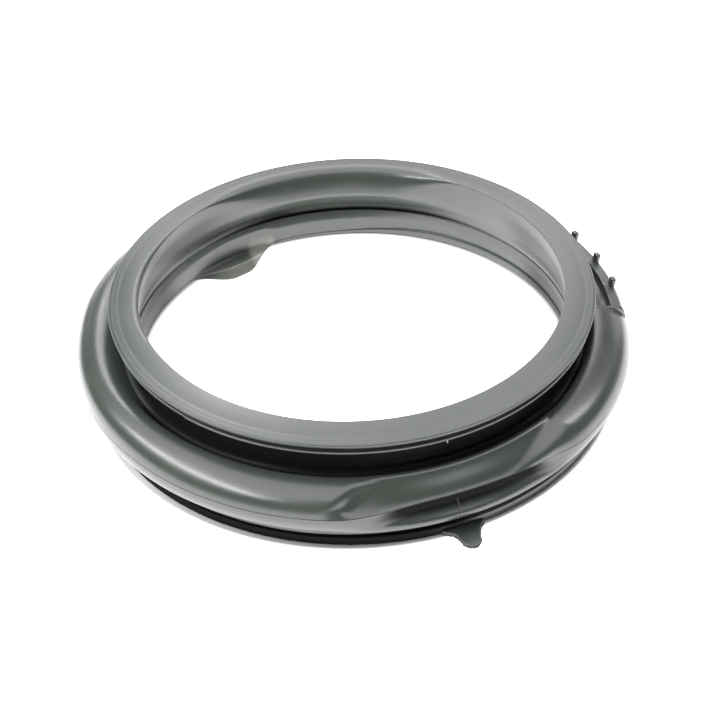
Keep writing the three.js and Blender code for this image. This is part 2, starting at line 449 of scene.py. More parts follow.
@dataclass
class Fold:
    """The round bellows fold, with its scoop and, on the right, its split crown.

    A turn is a place on the round fold, in degrees above the horizontal.
    """

    valley_turn: ClassVar[float] = 156.0
    foot_turn: ClassVar[float] = -36.0
    leaning: Span = Span(200, 238, 395, 430)
    lean_least: float = -1.5
    lean_most: float = 5.0
    lean_power: float = 1.6
    right_lean: Span = Span(318, 345, 375, 420)
    right_extra: float = 2.5
    inner_squash: float = 0.45
    axis: float = 179.5
    height: float = 32.0
    radius: float = SEAL_HIGH[0] / MM - axis
    wall: float = 3.0
    tangent_step: float = 2.0
    valley_gap: float = 3.0
    scoop: Scoop = field(default_factory=Scoop)
    crown: Span = Span(1.2, 1.8, 58, 62)
    slot_in: float = 181.5
    slot_out: float = 185.0
    slot_depth: float = 9.0
    slot_inner_edge: tuple[tuple[float, float], ...] = ((-0.5, -1.2), (0.0, -1.9))
    slot_foot: tuple[tuple[float, float], ...] = ((0.0, 3.0), (0.3, 0.4))
    slot_outer_edge: tuple[tuple[float, float], ...] = ((0.0, -1.1), (0.3, -0.5))
    slot_before: float = 84.5
    slot_first: float = 83.0
    slot_pitch: float = 1.2
    slot_turn: float = 78.0
    slot_after: float = 71.5
    under_slot: Span = Span(52, 62, 92, 102)
    # Turns and angles where the fold's inner face is painted dark as shade
    recess: tuple[float, float] = (108.0, 120.0)
    recessed: Span = Span(197, 221, 336, 350)
    bulge: Span = Span(138, 154, 163, 182)
    bulge_out: float = 2.4
    bulge_up: float = 1.4
    fullness: float = 1.5
    dim_right: Span = Span(322, 345, 372, 400)
    dim_turns: tuple[float, float] = (82.0, 96.0)
    dim: float = 0.6
    rib_rise: float = 17.0
    rib_corner: Spot = Spot(192.2, 47.6)
    rib_bend: Spot = Spot(196.4, 43.5)
    rib_top_turn: float = 72.0
    rib_corner_turn: float = 46.0
    rib_flank_turn: float = 14.0
    line: Span = Span(196, 204, 328, 334)
    line_height: float = 0.12
    line_above: float = 6.4
    line_below: float = 3.2
    cross_lines: tuple[MouldLine, ...] = (
        MouldLine(1.5, 112, 30, LineTone.PALE),
        MouldLine(10.0, 112, 40, LineTone.PALE, 0.15),
        MouldLine(20.0, 112, 40, LineTone.PALE, 0.15),
        MouldLine(290.6, 4, -36, LineTone.DARK, 0.3),
        MouldLine(290.75, -12, -36, LineTone.PALE, 0.2),
    )

    def round(self, turn: float, angle: float) -> Spot:
        """Point of the fold without scoop or crown.

        Args:
            turn: Place on the round fold, in degrees above the horizontal.
            angle: Where the section is taken, in degrees.

        Returns:
            The point. The fold leans inward over its steep inner side.
        """
        way = math.radians(turn)
        share = self.leaning.share(angle)
        most = mix(self.lean_least, self.lean_most, share)
        most += self.right_extra * self.right_lean.share(angle)
        squash = mix(1, self.inner_squash, share) if turn > 90 else 1
        lean = most * max(0.0, math.sin(way)) ** self.lean_power if turn < 90 else most
        bulge = self.bulge.share(angle) * max(0.0, math.sin(way))
        full = self.fullness * math.sin(2 * way) ** 2 if 0 < turn < 90 else 0.0
        out = self.radius * math.cos(way) * squash + self.bulge_out * bulge + full
        up = self.radius * math.sin(way) + self.bulge_up * bulge
        return Spot(self.axis + out - lean, self.height + up)

    def skin(self, turn: float, angle: float) -> Spot:
        """Point of the fold's outer skin.

        Args:
            turn: Place on the round fold, in degrees above the horizontal.
            angle: Where the section is taken, in degrees.

        Returns:
            The point.
        """
        plain = self.round(turn, angle)
        foot = self.round(self.foot_turn, angle)
        share = self.scoop.share(turn, angle)
        if share:
            return blend(plain, self.scoop.spot(turn, angle, foot), share)
        full = self.crown.share(angle)
        if full and self.rib_flank_turn < turn < self.rib_top_turn:
            return blend(plain, self.rib(turn, angle), full)
        return plain

    def rib(self, turn: float, angle: float) -> Spot:
        """Point of the outer rib of the split crown.

        Args:
            turn: Place on the round fold that it belongs to, in degrees above the horizontal.
            angle: Where the section is taken, in degrees.

        Returns:
            The point.
        """
        top = Spot(self.slot_out, self.height + self.rib_rise)
        flank = self.round(self.rib_flank_turn, angle)
        corner = self.rib_corner_turn
        if turn > corner:
            return blend(self.rib_corner, top, (turn - corner) / (self.rib_top_turn - corner))
        t = (corner - turn) / (corner - self.rib_flank_turn)
        return quadratic(self.rib_corner, self.rib_bend, flank, t)

    def slot(self, angle: float) -> list[Spot]:
        """The slot between the ribs, which closes into plain skin outside the split crown.

        Args:
            angle: Where the section is taken, in degrees.

        Returns:
            The slot's points from its inner to its outer wall.
        """
        full = self.crown.share(angle)
        crest = self.height + self.radius
        floor = crest - self.slot_depth
        sunk = [Spot(self.slot_in + out, crest + up) for out, up in self.slot_inner_edge]
        sunk += [Spot(self.slot_in + out, floor + up) for out, up in self.slot_foot]
        sunk.append(Spot((self.slot_in + self.slot_out) / 2, floor))
        sunk += [Spot(self.slot_out - out, floor + up) for out, up in reversed(self.slot_foot)]
        sunk += [Spot(self.slot_out + out, crest + up) for out, up in self.slot_outer_edge]
        plain = [self.skin(self.slot_first - i * self.slot_pitch, angle) for i in range(len(sunk))]
        return [blend(a, b, full) for a, b in zip(plain, sunk)]

    def outside(self, angle: float) -> list[Spot]:
        """Outer skin from the valley over the crown and down the flank.

        Args:
            angle: Where the section is taken, in degrees.

        Returns:
            The skin's points, in order.
        """
        before = spread(self.valley_turn, self.slot_before, 11)
        slot = self.slot(angle)
        after = spread(self.slot_after, self.line_above, 20)
        below = spread(self.line_below, self.foot_turn, 10)
        mark = self.line.share(angle)
        crest = self.skin(self.scoop.ridge_turn, angle)
        # Painted shade: on the near side the fold's inner face towards the valley is painted dark, and
        # on the right its inner slope is painted dimmer
        shade = self.recessed.share(angle)
        dim = self.dim * self.dim_right.share(angle)
        spots = []
        for turn in before:
            tone = max(shade * ease(turn, *self.recess), dim * ease(turn, *self.dim_turns))
            spots.append(Spot(*self.skin(turn, angle)[:2], tone))
        spots += slot
        spots += [self.skin(turn, angle) for turn in after]
        spots.append(Spot(crest.r + self.line_height * mark, crest.z, mark))
        spots += [self.skin(turn, angle) for turn in below]
        turns = before + [self.slot_turn] * len(slot) + after + [self.scoop.ridge_turn] + below
        for line in self.cross_lines:
            spots = line.raised(spots, turns, angle)
        return spots

    def inside(self, angle: float) -> list[Spot]:
        """Inner skin, a wall's thickness inside the outer one, from the flank back to the valley.

        Args:
            angle: Where the section is taken, in degrees.

        Returns:
            The skin's points, in order.
        """
        spots = []
        full = self.crown.share(angle)
        floor = self.height + self.radius - self.slot_depth - self.wall
        for turn in spread(self.foot_turn, self.valley_turn - self.valley_gap, 11):
            ahead = self.skin(turn + self.tangent_step, angle)
            behind = self.skin(turn - self.tangent_step, angle)
            along = Vector((ahead.r - behind.r, ahead.z - behind.z)).normalized()
            here = self.skin(turn, angle)
            spot = Spot(here.r - along.y * self.wall, here.z + along.x * self.wall)
            sunk = full * self.under_slot.share(turn)
            spots.append(Spot(spot.r, mix(spot.z, floor, sunk)))
        return spots


@dataclass
class BaseRim:
    """The fold's foot, the neck under it and the rim that the seal stands on."""

    foot: Spot = Spot(189.0, 13.5)
    foot_round: float = 3.0
    neck: float = 178.0
    neck_top: float = 11.2
    neck_round: float = 1.2
    neck_mark: float = 0.6
    crook_rise: float = 0.4
    crook_round: float = 0.8
    outer: float = 184.0
    height: float = 6.5
    draft: float = 0.4
    edge: float = 0.8
    side_mark: float = 0.8
    tread: float = 4.5
    tread_edge: float = 0.6
    wall: float = 3.0
    inside_foot: float = 3.6
    shift: float = 1.6
    # Angles at which the neck and the rim's outer face are painted dark as shade
    shaded: Span = Span(190, 215, 288, 312)
    rim_shade: Span = Span(190, 215, 282, 302)
    lifted: Span = Span(150, 205, 222, 262)
    lift: float = 3.0

    def spots(self, angle: float, flank: Spot) -> list[Spot]:
        """Section from the foot of the fold round the rim and back up inside.

        Args:
            angle: Where the section is taken, in degrees.
            flank: End of the fold's outer skin.

        Returns:
            The section's points, in order.
        """
        # Painted shade: on the near side the neck under the fold and the rim's outer face are painted
        # dark, where the fold shades them
        shade = self.shaded.share(angle)
        rim_shade = self.rim_shade.share(angle)
        lift = self.lift * self.lifted.share(angle)
        foot = Spot(self.foot.r, self.foot.z + lift)
        neck_top = Spot(self.neck, self.neck_top + lift, self.neck_mark * shade)
        neck_low = Spot(self.neck, self.height + self.crook_rise, shade)
        outer = self.outer + self.shift * math.cos(math.radians(angle))
        rim_top = Spot(outer - self.draft, self.height, rim_shade)
        rim_low = Spot(outer, 0.0, self.side_mark * rim_shade)
        tread = Spot(outer - self.tread, 0.0)
        inside = self.neck - self.wall
        rise = Spot(inside, self.height)
        spots = fillet(flank, foot, neck_top, self.foot_round, 3)
        spots += fillet(foot, neck_top, neck_low, self.neck_round, 1)
        spots += fillet(neck_top, neck_low, rim_top, self.crook_round, 1)
        spots += fillet(neck_low, rim_top, rim_low, self.edge, 2)
        spots += fillet(rim_top, rim_low, tread, self.tread_edge, 1)
        spots += [tread, rise, Spot(inside, neck_top.z + self.wall)]
        spots.append(Spot(foot.r - self.inside_foot, foot.z + self.wall))
        return spots


@dataclass
class SealingLip:
    """The lip that hangs inside the ring, with its spout on the far left and its cuff on the right."""

    radius: float = 153.0
    end_height: float = 19.0
    thickness: float = 2.5
    tip_drop: float = 0.5
    tip_round: float = 0.9
    band_rise: float = 2.2
    band_set: float = 0.5
    band_round: float = 1.0
    ledge_share: float = 0.35
    ledge_drop: float = 0.4
    back_round: float = 1.5
    waist_in: float = 2.6
    waist_rise: float = 1.5
    waist_round: float = 1.5
    roof_drop: float = 6.8
    root_out: float = 4.5
    root_drop: float = 6.0
    ridge: Spot = Spot(156.4, 38.4)
    ridge_round: float = 1.2
    ridge_dim: float = 0.6
    valley: Spot = Spot(158.8, 36.4)
    shaded: Span = Span(40, 75, 105, 140)
    left_depth: float = 0.7
    left_drop: float = 0.8
    dim_left: Span = Span(138, 156, 205, 225)
    dim_right: Span = Span(345, 366, 386, 405)
    dim: float = 0.6
    cuff_out: float = 2.6
    # Painted highlight on the spout's edge, and painted light on its front facet
    glint: Span = Span(111.0, 113.5, 119.0, 122.0)
    painted_glint: float = -0.7
    facet_painted_light: float = -0.5
    cuff_height: float = 6.0
    cuff_turn: float = 1.8
    cuff_set: float = 0.4
    cuff_ledge_drop: float = 1.2
    cuff_waist_out: float = 1.6
    spout_reach: float = 13.0
    spout_droop: float = 8.4
    spout_back_drop: float = 1.5
    pocket_top: float = 30.0
    pocket_depth: float = 2.4
    pocket_sink: float = 3.5
    pocket_waist_out: float = 0.6
    pocket_waist_rise: float = 2.5
    spout: Span = Span(112, 124, 128, 143)
    pocket: Span = Span(111, 116, 123, 146)
    cuff: Span = Span(-25, 0, 62, 98)

    def crease(self, angle: float) -> Spot:
        """Bottom of the crease behind the ridge, deeper on the far side, where it is painted dark as
        shade.

        Args:
            angle: Where the section is taken, in degrees.

        Returns:
            The crease.
        """
        share = self.shaded.share(angle)
        depth = mix(self.left_depth, self.valley.r - self.ridge.r, share)
        height = mix(self.ridge.z - self.left_drop, self.valley.z, share)
        return Spot(self.ridge.r + depth, height, share)

    def spots(self, angle: float) -> list[Spot]:
        """Section down the lip's back, round its end and up its front.

        Args:
            angle: Where the section is taken, in degrees.

        Returns:
            The section's points, in order.
        """
        spout = self.spout.share(angle)
        pocket = self.pocket.share(angle)
        cuff = self.cuff.share(angle)
        # Painted shade dims the lip on its left and right; the glint and the lit facet are painted
        # highlights on the spout
        dim = self.dim * max(self.dim_left.share(angle), self.dim_right.share(angle))
        glint = self.painted_glint * self.glint.share(angle)
        lit = self.facet_painted_light * spout
        floor = self.end_height + self.band_rise - self.pocket_sink * pocket
        radius = self.radius + self.cuff_out * cuff
        face = radius + self.band_set + self.pocket_depth * pocket
        tip = Spot(
            radius - self.cuff_turn * cuff - self.spout_reach * spout,
            self.end_height - self.spout_droop * spout,
            dim + glint + lit,
        )
        behind = Spot(
            tip.r + self.thickness,
            tip.z - self.tip_drop - self.spout_back_drop * spout,
        )
        back = Spot(face + self.thickness, floor - self.thickness * spout)
        band = Spot(
            face - self.cuff_set * cuff,
            floor + (self.cuff_height - self.band_rise) * cuff,
            dim + glint,
        )
        ledge = Spot(
            mix(tip.r, band.r, self.ledge_share),
            band.z - self.cuff_ledge_drop * cuff - self.ledge_drop,
            dim + glint + lit,
        )
        waist = Spot(
            self.ridge.r - self.waist_in + self.pocket_waist_out * pocket
            + self.cuff_waist_out * cuff,
            self.pocket_top + self.waist_rise + self.pocket_waist_rise * pocket,
            dim,
        )
        ridge = Spot(self.ridge.r, self.ridge.z, self.ridge_dim * dim)
        roof = Spot(self.ridge.r + self.thickness, self.ridge.z - self.roof_drop)
        spots = [Spot(self.valley.r + self.root_out, self.ridge.z - self.root_drop)]
        spots += [roof, blend(roof, back, 0.5)]
        spots += fillet(roof, back, behind, self.back_round, 2)
        spots += fillet(back, behind, tip, self.tip_round, 2)
        spots += fillet(behind, tip, ledge, self.tip_round, 3)
        spots += fillet(tip, ledge, band, self.tip_round, 3)
        spots += fillet(ledge, band, waist, self.band_round, 3)
        spots += fillet(band, waist, ridge, self.waist_round, 3)
        spots += fillet(waist, ridge, self.crease(angle), self.ridge_round, 4)
        return spots


@dataclass
class InnerWall:
    """The wall's inner face, which bellies outward between the sealing lip and the ring."""

    middle: Spot = Spot(152.8, 54.0)
    low: Spot = Spot(158.8, 42.2)
    far_inset: float = 2.6
    left_low: Spot = Spot(156.2, 43.0)
    dim_left: Span = Span(112, 140, 165, 190)
    dim_right: Span = Span(340, 366, 390, 412)
    dim: float = 0.5
    dusk: Span = Span(96, 112, 132, 152)
    dusk_mark: float = 0.75
    low_mark: float = 0.38
    valley_round: float = 1.0
    low_round: float = 3.0
    middle_round: float = 4.0
    fade_at: float = 0.45
    fade_mark: float = 0.3

    def spots(self, lip: SealingLip, ring: FrontRing, angle: float) -> list[Spot]:
        """Section from the valley behind the lip up to the opening's edge.

        Args:
            lip: The sealing lip under the wall.
            ring: The front ring over it.
            angle: Where the section is taken, in degrees.

        Returns:
            The section's points, in order.
        """
        valley = lip.crease(angle)
        # Painted shade: the wall is dimmed on the left and right, and its low part is painted darker
        # over the crease on the far side and the far left
        dim = self.dim * max(self.dim_left.share(angle), self.dim_right.share(angle))
        throat = Spot(*ring.throat(angle)[:2], dim)
        inset = self.far_inset * ring.soft_far.share(angle)
        middle = Spot(self.middle.r - inset, self.middle.z, dim)
        low = Spot(
            mix(self.left_low.r, self.low.r, valley.mark),
            mix(self.left_low.z, self.low.z, valley.mark),
            max(dim, self.low_mark * valley.mark, self.dusk_mark * self.dusk.share(angle)),
        )
        spots = fillet(lip.ridge, valley, low, self.valley_round, 2)
        spots += fillet(valley, low, middle, self.low_round, 4)
        above = blend(low, middle, self.fade_at)
        spots.append(Spot(above.r, above.z, mix(dim, above.mark, self.fade_mark)))
        spots += fillet(low, middle, throat, self.middle_round, 4)
        spots.append(throat)
        return spots


@dataclass
class SealBody:
    """The seal's body: one section carried round the axis, which changes from angle to angle."""

    ring: FrontRing = field(default_factory=FrontRing)
    fold: Fold = field(default_factory=Fold)
    base: BaseRim = field(default_factory=BaseRim)
    lip: SealingLip = field(default_factory=SealingLip)
    wall: InnerWall = field(default_factory=InnerWall)
    copies: int = 8
    weld: float = 0.002
    stretches: tuple[tuple[float, int], ...] = (
        (1.2, 3), (1.8, 4), (9.85, 20), (10.15, 2), (19.85, 24), (20.15, 2), (34, 29),
        (108, 84), (148, 80), (224, 84), (261, 50), (290.45, 78), (290.9, 6), (326, 88),
        (357, 38), (360, 8),
    )

    def section(self, angle: float) -> list[Spot]:
        """The whole section at an angle, as a closed run.

        Args:
            angle: Where the section is taken, in degrees.

        Returns:
            The section's points, in order round the rubber.
        """
        outside = self.fold.outside(angle)
        spots = self.ring.spots(angle)
        # Painted shade on the wall between the thin lip and the fold
        spots.append(Spot(self.ring.wall, mix(outside[0].z, self.ring.low(), 0.5), SHADED))
        spots += outside
        spots += self.base.spots(angle, outside[-1])
        spots += self.fold.inside(angle)
        spots += self.lip.spots(angle)
        spots += self.wall.spots(self.lip, self.ring, angle)
        return spots

    def angles(self) -> list[float]:
        """Angles of the sections, closer together where the shape changes quickly.

        Returns:
            The angles, in degrees, upward from 0.
        """
        angles = []
        start = 0.0
        for end, steps in self.stretches:
            angles += [mix(start, end, i / steps) for i in range(steps)]
            start = end
        return angles

    def build(self) -> bmesh.types.BMesh:
        """Spin the section through an eighth turn, copy that round, then shape each section.

        Returns:
            The body's mesh, in metres.
        """
        angles = self.angles()
        bm = bmesh.new()
        place = bm.verts.layers.int.new("place")
        mark = bm.verts.layers.float.new("mark")
        first = self.section(0)
        loop = [bm.verts.new((spot.r * MM, 0, spot.z * MM)) for spot in first]
        for i, vert in enumerate(loop):
            vert[place] = i
        edges = [bm.edges.new((a, b)) for a, b in zip(loop, loop[1:] + loop[:1])]
        bmesh.ops.spin(
            bm, geom=loop + edges, cent=(0, 0, 0), axis=(0, 0, 1), dvec=(0, 0, 0),
            angle=math.tau / self.copies, steps=len(angles) // self.copies, use_merge=False,
        )
        wedge = bm.verts[:] + bm.edges[:] + bm.faces[:]
        for i in range(1, self.copies):
            copy = bmesh.ops.duplicate(bm, geom=wedge)["geom"]
            verts = [item for item in copy if isinstance(item, bmesh.types.BMVert)]
            bmesh.ops.rotate(
                bm, cent=(0, 0, 0), verts=verts,
                matrix=Matrix.Rotation(i * math.tau / self.copies, 3, "Z"),
            )
        bmesh.ops.remove_doubles(bm, verts=bm.verts, dist=self.weld * MM)
        sections = [self.section(angle) for angle in angles]
        for vert in bm.verts:
            turn = math.atan2(vert.co.y, vert.co.x) % math.tau
            index = round(turn / math.tau * len(angles)) % len(angles)
            spot = sections[index][vert[place]]
            way = math.radians(angles[index])
            vert.co = Vector((spot.r * math.cos(way), spot.r * math.sin(way), spot.z)) * MM
            vert[mark] = spot.mark
        bmesh.ops.recalc_face_normals(bm, faces=bm.faces)
        return bm


def around(angle: float, out: float, along: float, z: float) -> Vector:
    """Place beside a radius of the seal.

    Args:
        angle: The radius, in degrees.
        out: Distance along the radius, in millimetres.
        along: Distance to its left, seen from the axis, in millimetres.
        z: Height, in millimetres.

    Returns:
        The place, in metres.
    """
    return Matrix.Rotation(math.radians(angle), 3, "Z") @ Vector((out, along, z)) * MM


def soften(
    bm: bmesh.types.BMesh, verts: Sequence[bmesh.types.BMVert], width: float, steps: int
) -> None:
    """Round every edge that meets some vertices.

    Args:
        bm: Mesh that they belong to.
        verts: The vertices.
        width: How far the round reaches from each edge, in millimetres.
        steps: How many narrow faces it takes.
    """
    edges = list({edge for vert in verts for edge in vert.link_edges})
    bmesh.ops.bevel(
        bm, geom=edges, offset=width * MM, affect="EDGES", segments=steps, profile=0.5,
        material=-1, clamp_overlap=True,
    )


@dataclass
class CrownLugs:
    """The stubs that stand on the outer rib of the split crown."""

    first: float = 10.0
    pitch: float = 9.5
    count: int = 3
    radius: float = 191.6
    foot: float = 43.0
    top: float = 53.8
    width: float = 5.6
    depth: float = 4.2
    edge: float = 1.3
    lean: float = 12.0

    def build(self) -> bmesh.types.BMesh:
        """Make the row of stubs.

        Returns:
            Their mesh, in metres.
        """
        bm = bmesh.new()
        for i in range(self.count):
            angle = self.first + i * self.pitch
            size = Vector((self.depth, self.width, self.top - self.foot)) * MM
            middle = around(angle, self.radius, 0, (self.top + self.foot) / 2)
            turn = Matrix.Rotation(math.radians(angle), 4, "Z")
            tilt = Matrix.Rotation(math.radians(self.lean), 4, "Y")
            place = Matrix.Translation(middle) @ turn @ tilt
            cube = bmesh.ops.create_cube(bm, size=1, matrix=place @ Matrix.Diagonal((*size, 1)))
            soften(bm, cube["verts"], self.edge, 4)
        return bm


@dataclass
class PullTab:
    """The tab at the base rim, with the ragged flash that the mould left along it."""

    angle: float = 292.3
    flash_steps: int = 4
    flash_reach: float = 1.1
    flash_thickness: float = 0.8
    flash_tint: float = -0.45
    flash_rise: tuple[float, float] = (181.0, 187.0)
    ripple_scale: float = 1.7
    ripple_least: float = 0.35
    ripple_more: float = 1.3
    thickness: float = 3.0
    tip_thickness: float = 2.0
    taper: tuple[float, float] = (186.0, 205.0)
    edge: float = 0.7
    outline: tuple[tuple[float, float], ...] = (
        (180.0, -17.0), (184.5, -16.4), (187.0, -13.2), (189.4, -10.0), (192.8, -8.6), (197.2, -7.9),
        (200.6, -7.6), (203.2, -6.2), (204.9, -3.6), (205.2, -1.0), (204.0, 1.8), (200.6, 4.4),
        (196.4, 6.0), (192.0, 8.0), (188.6, 10.6), (185.0, 14.2), (180.0, 16.0),
    )

    def plate(
        self, bm: bmesh.types.BMesh, outline: Sequence[tuple[float, float]], root: float, tip: float
    ) -> list[bmesh.types.BMVert]:
        """Extrude an outline upward from the floor.

        Args:
            bm: Mesh to add the plate to.
            outline: Distance along and beside the tab's radius of each corner.
            root: Height at the rim.
            tip: Height at the tip.

        Returns:
            The plate's vertices.
        """
        low = [bm.verts.new(around(self.angle, out, along, 0)) for out, along in outline]
        face = bm.faces.new(low)
        grown = bmesh.ops.extrude_face_region(bm, geom=[face])["geom"]
        raised = [item for item in grown if isinstance(item, bmesh.types.BMVert)]
        for vert in raised:
            vert.co.z = mix(root, tip, ease(vert.co.length / MM, *self.taper)) * MM
        return low + raised

    def ragged(self) -> list[tuple[float, float]]:
        """Outline of the flash.

        Returns:
            Distance along and beside the tab's radius of each corner.
        """
        corners = []
        for (a, left), (b, right) in zip(self.outline, self.outline[1:]):
            side = Vector((b - a, right - left)).normalized()
            for i in range(self.flash_steps):
                t = i / self.flash_steps
                out = mix(a, b, t)
                along = mix(left, right, t)
                ripple = noise.noise(Vector((out, along, 0)) * self.ripple_scale)
                uneven = self.ripple_least + self.ripple_more * abs(ripple)
                reach = self.flash_reach * uneven * ease(out, *self.flash_rise)
                corners.append((out + side.y * reach, along - side.x * reach))
        return corners

    def build(self) -> bmesh.types.BMesh:
        """Make the tab and its flash.

        Returns:
            Their mesh, in metres.
        """
        bm = bmesh.new()
        mark = bm.verts.layers.float.new("mark")
        tab = self.plate(bm, self.outline, self.thickness, self.tip_thickness)
        soften(bm, tab, self.edge, 3)
        flash = self.plate(bm, self.ragged(), self.flash_thickness, self.flash_thickness)
        for vert in flash:
            vert[mark] = self.flash_tint
        bmesh.ops.recalc_face_normals(bm, faces=bm.faces)
        return bm


@dataclass(frozen=True)
class Spur:
    """A small spur of flash."""

    angle: float
    radius: float
    z: float
    height: float
    tint: float


@dataclass
class MouldSpurs:
    """The spurs that the mould left at the ends of its lines."""

    thickness: float = 0.9
    edge: float = 0.2
    spurs: tuple[Spur, ...] = (
        Spur(197.6, 196.6, 27.5, 5.0, 0.6),
        Spur(184.5, 171.9, 73.0, 2.0, 0.7),
        Spur(290.4, 170.2, 66.4, 2.6, -0.6),
    )

    def build(self) -> bmesh.types.BMesh:
        """Make the spurs.

        Returns:
            Their mesh, in metres.
        """
        bm = bmesh.new()
        mark = bm.verts.layers.float.new("mark")
        for spur in self.spurs:
            size = Vector((self.thickness, self.thickness, spur.height)) * MM
            place = Matrix.Translation(around(spur.angle, spur.radius, 0, spur.z))
            place @= Matrix.Rotation(math.radians(spur.angle), 4, "Z")
            place @= Matrix.Diagonal((*size, 1))
            cube = bmesh.ops.create_cube(bm, size=1, matrix=place)
            for vert in cube["verts"]:
                vert[mark] = spur.tint
            soften(bm, cube["verts"], self.edge, 2)
        return bm


class Socket:
    """A node's output that takes part in arithmetic, and adds its Math nodes as it goes."""

    def __init__(self, shader: "Shader", link: bpy.types.NodeSocket) -> None:
        """Wrap an output.

        Args:
            shader: Shader that the output belongs to.
            link: The output itself.
        """
        self.shader = shader
        self.link = link

    def _math(self, operation: str, *values: "Socket | float") -> "Socket":
        """Add a Math node.

        Args:
            operation: The Math node's operation.
            values: What goes into its sockets.

        Returns:
            The node's output.
        """
        return self.shader.node(
            "ShaderNodeMath", {"operation": operation}, dict(enumerate(values)))

    def __add__(self, other: "Socket | float") -> "Socket":
        """Sum of both."""
        return self._math("ADD", self, other)

    def __radd__(self, other: float) -> "Socket":
        """Sum of both."""
        return self._math("ADD", other, self)

    def __sub__(self, other: "Socket | float") -> "Socket":
        """Difference of both."""
        return self._math("SUBTRACT", self, other)

    def __rsub__(self, other: float) -> "Socket":
        """Difference of both."""
        return self._math("SUBTRACT", other, self)

    def __mul__(self, other: "Socket | float") -> "Socket":
        """Product of both."""
        return self._math("MULTIPLY", self, other)

    def __rmul__(self, other: float) -> "Socket":
        """Product of both."""
        return self._math("MULTIPLY", other, self)

    def above(self, edge: float, width: float) -> "Socket":
        """Share that rises smoothly with this value.

        Args:
            edge: Value at which it starts.
            width: How much further it is full.

        Returns:
            The share, from 0 to 1.
        """
        settings = {"interpolation_type": "SMOOTHSTEP"}
        return self.shader.node(
            "ShaderNodeMapRange", settings, {0: self, 1: edge, 2: edge + width})


class Shader:
    """A material's node tree under construction."""

    def __init__(self, name: str) -> None:
        """Start a material that has only its output node.

        Args:
            name: The material's name.
        """
        self.material = bpy.data.materials.new(name)
        self.material.use_nodes = True
        self.tree = self.material.node_tree
        self.tree.nodes.clear()

    def node(self, kind: str, settings: dict, inputs: dict, output: int | str = 0) -> Socket:
        """Add a node.

        Args:
            kind: The node's type.
            settings: The node's own options, set first.
            inputs: Values or links of its sockets, by place or name.
            output: The output to hand back.

        Returns:
            That output.
        """
        node = self.tree.nodes.new(kind)
        for name, value in settings.items():
            setattr(node, name, value)
        for name, value in inputs.items():
            if isinstance(value, Socket):
                self.tree.links.new(value.link, node.inputs[name])
            else:
                node.inputs[name].default_value = value
        return Socket(self, node.outputs[output])

    def close(self, surface: Socket) -> bpy.types.Material:
        """Link the surface to the material's output.

        Args:
            surface: The finished surface.

        Returns:
            The material.
        """
        out = self.tree.nodes.new("ShaderNodeOutputMaterial")
        self.tree.links.new(surface.link, out.inputs["Surface"])
        return self.material


@dataclass(frozen=True)
class SealRubber:
    """Satin grey moulded rubber with a faint bloom, fine grain, darker mould lines and painted shade
    and highlights.
    """

    name: str = "seal_rubber"
    colour: tuple[float, float, float, float] = (0.05, 0.058, 0.051, 1)
    bloom: tuple[float, float, float, float] = (0.064, 0.071, 0.062, 1)
    # Dark colour of mould lines, also painted into recesses and creases as shade
    line: tuple[float, float, float, float] = (0.008, 0.009, 0.008, 1)
    # Pale colour of flash, also painted onto the sealing lip's spout as highlights
    pale_flash_and_painted_highlight: tuple[float, float, float, float] = (0.3, 0.31, 0.28, 1)
    roughness: float = 0.3
    specular: float = 0.8
    cloud_scale: float = 22.0
    cloud_detail: float = 4.0
    cloud_edge: float = 0.38
    cloud_width: float = 0.3
    cloud_share: float = 0.5
    cloud_roughness: float = 0.1
    grain_scale: float = 2600.0
    grain_detail: float = 2.0
    grain_roughness: float = 0.06
    grain_strength: float = 0.25
    grain_depth: float = 0.00004
    matt_roughness: float = 0.9
    mark_edge: float = 0.1
    mark_width: float = 0.9
    mark_share: float = 0.95

    def material(self) -> bpy.types.Material:
        """Build the material.

        Returns:
            The finished material.
        """
        shader = Shader(self.name)
        where = shader.node("ShaderNodeTexCoord", {}, {}, "Object")
        cloud = shader.node(
            "ShaderNodeTexNoise", {},
            {"Vector": where, "Scale": self.cloud_scale, "Detail": self.cloud_detail})
        grain = shader.node(
            "ShaderNodeTexNoise", {},
            {"Vector": where, "Scale": self.grain_scale, "Detail": self.grain_detail})
        mark = shader.node(
            "ShaderNodeAttribute", {"attribute_name": "mark"}, {}, "Fac")
        clouded = cloud.above(self.cloud_edge, self.cloud_width) * self.cloud_share
        bloomed = shader.node(
            "ShaderNodeMix", {"data_type": "RGBA"},
            {"Factor": clouded, MIX_A: self.colour, MIX_B: self.bloom}, MIX_RESULT)
        # Negative marks mix in the pale colour: pale flash, and painted highlights
        paled = (mark * -1.0).above(self.mark_edge, self.mark_width)
        toned = shader.node(
            "ShaderNodeMix", {"data_type": "RGBA"},
            {"Factor": paled, MIX_A: bloomed, MIX_B: self.pale_flash_and_painted_highlight}, MIX_RESULT)
        bump = shader.node(
            "ShaderNodeBump", {},
            {"Strength": self.grain_strength, "Distance": self.grain_depth, "Height": grain})
        uneven = (cloud - 0.5) * self.cloud_roughness
        grained = (grain - 0.5) * self.grain_roughness
        satin = shader.node(
            "ShaderNodeBsdfPrincipled", {},
            {
                "Base Color": toned,
                "Roughness": self.roughness + uneven + grained,
                "Normal": bump,
                "Specular IOR Level": self.specular,
            })
        # Dark matt rubber for mould lines and for painted shade in recesses
        matt_line_and_painted_shade = shader.node(
            "ShaderNodeBsdfPrincipled", {},
            {
                "Base Color": self.line,
                "Roughness": self.matt_roughness,
                "Specular IOR Level": 0.0,
            })
        darkened = mark.above(self.mark_edge, self.mark_width) * self.mark_share
        surface = shader.node("ShaderNodeMixShader", {}, {0: darkened, 1: satin, 2: matt_line_and_painted_shade})
        return shader.close(surface)


